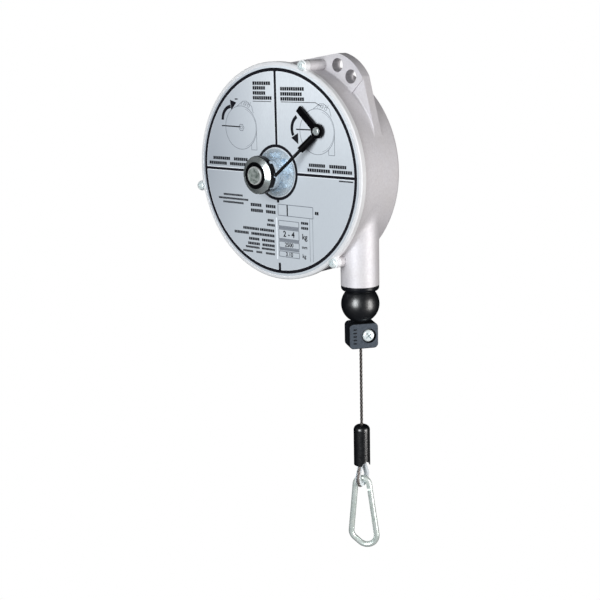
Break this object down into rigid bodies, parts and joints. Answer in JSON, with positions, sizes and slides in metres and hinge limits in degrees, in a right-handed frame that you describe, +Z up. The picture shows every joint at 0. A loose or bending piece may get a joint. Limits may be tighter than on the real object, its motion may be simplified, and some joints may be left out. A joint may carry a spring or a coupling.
{
  "type": "spring tool balancer",
  "caption": "Round spring tool balancer that hangs from a cast lug, with a conical rope drum, a geared tension hub, a buffer ball and a snap hook on a wire rope.",
  "frame": {"origin": "middle of the suspension hole in the lug, half way through the lug's thickness", "axes": "+Z up as the balancer hangs; the drum's axis runs along Y, with the labelled front facing -Y; the rope leaves the spout at +X"},
  "size_m": [0.2246, 0.0971, 0.5115],
  "materials": {
    "casting": "satin",
    "cover": "satin",
    "label": "satin",
    "zinc": "satin",
    "steel": "brushed",
    "spring_steel": "satin",
    "drum": "cast",
    "bronze": "satin",
    "black_plastic": "satin",
    "rubber": "gloss",
    "clamp": "cast",
    "bolt": "mottled"
  },
  "bodies": {
    "housing": {"rear_housing": "casting", "front_cover": "cover", "label_plate": "label", "cover_screws": "zinc", "rear_bush": "bronze", "front_bush": "bronze", "rope_guide": "black_plastic", "pawl_pivot_screw": "zinc", "housed_rope": "steel", "travel_rope": "steel"},
    "pawl": {"pawl_lever": "black_plastic", "pawl_grip": "black_plastic", "pawl_rod": "black_plastic", "pawl_spring": "spring_steel"},
    "tension_hub": {"tension_arbor": "steel", "spring_collar": "steel", "ratchet_hub": "zinc", "index_disc": "black_plastic", "lock_ring": "zinc", "ring_insert": "black_plastic", "hub_bolt": "bolt"},
    "drum": {"rope_drum": "drum", "drum_front_bush": "bronze", "drum_rear_bush": "bronze", "spring_cover": "steel", "spring_cover_screws": "zinc", "power_spring": "spring_steel", "wound_rope": "steel"},
    "rope_end": {"buffer_ball": "rubber", "clamp_front": "clamp", "clamp_rear": "clamp", "clamp_screw": "zinc", "load_rope": "steel", "crimp_ferrule": "drum", "rope_eye": "steel", "rope_sleeve": "black_plastic", "thimble": "zinc"},
    "snap_hook": {"snap_hook_body": "zinc"},
    "gate": {"snap_hook_gate": "zinc", "gate_pin": "zinc"}
  },
  "joints": [
    {"name": "rope_payout", "type": "slide", "parent": "housing", "child": "rope_end", "axis": [0, 0, -1], "range_m": [0, 2.5], "stiffness_N_per_m": 2, "springref_m": -10, "deforming": ["travel_rope"]},
    {"name": "drum_spin", "type": "hinge", "parent": "housing", "child": "drum", "pos_m": [-0.0566, 0, -0.1047], "axis": [0, 1, 0], "range_deg": [0, 1685.7]},
    {"name": "tension_adjust", "type": "hinge", "parent": "housing", "child": "tension_hub", "pos_m": [-0.0566, -0.036, -0.1047], "axis": [0, 1, 0], "continuous": true},
    {"name": "pawl_lift", "type": "hinge", "parent": "housing", "child": "pawl", "pos_m": [0.0014, -0.0399, -0.0613], "axis": [0, -1, 0], "range_deg": [0, 20], "stiffness_Nm_per_rad": 0.05, "springref_deg": -28.65},
    {"name": "hook_swing", "type": "hinge", "parent": "rope_end", "child": "snap_hook", "pos_m": [0.0234, -0.004, -0.4299], "axis": [-0.4695, 0.8829, 0], "range_deg": [-30, 30]},
    {"name": "gate_open", "type": "hinge", "parent": "snap_hook", "child": "gate", "pos_m": [0.03078, -0.00007, -0.43735], "axis": [-0.4695, 0.8829, 0], "range_deg": [0, 24], "stiffness_Nm_per_rad": 0.02, "springref_deg": -28.65}
  ],
  "couplings": [
    {"joint": "drum_spin", "follows": "rope_payout", "rad_per_m": 11.765}
  ]
}
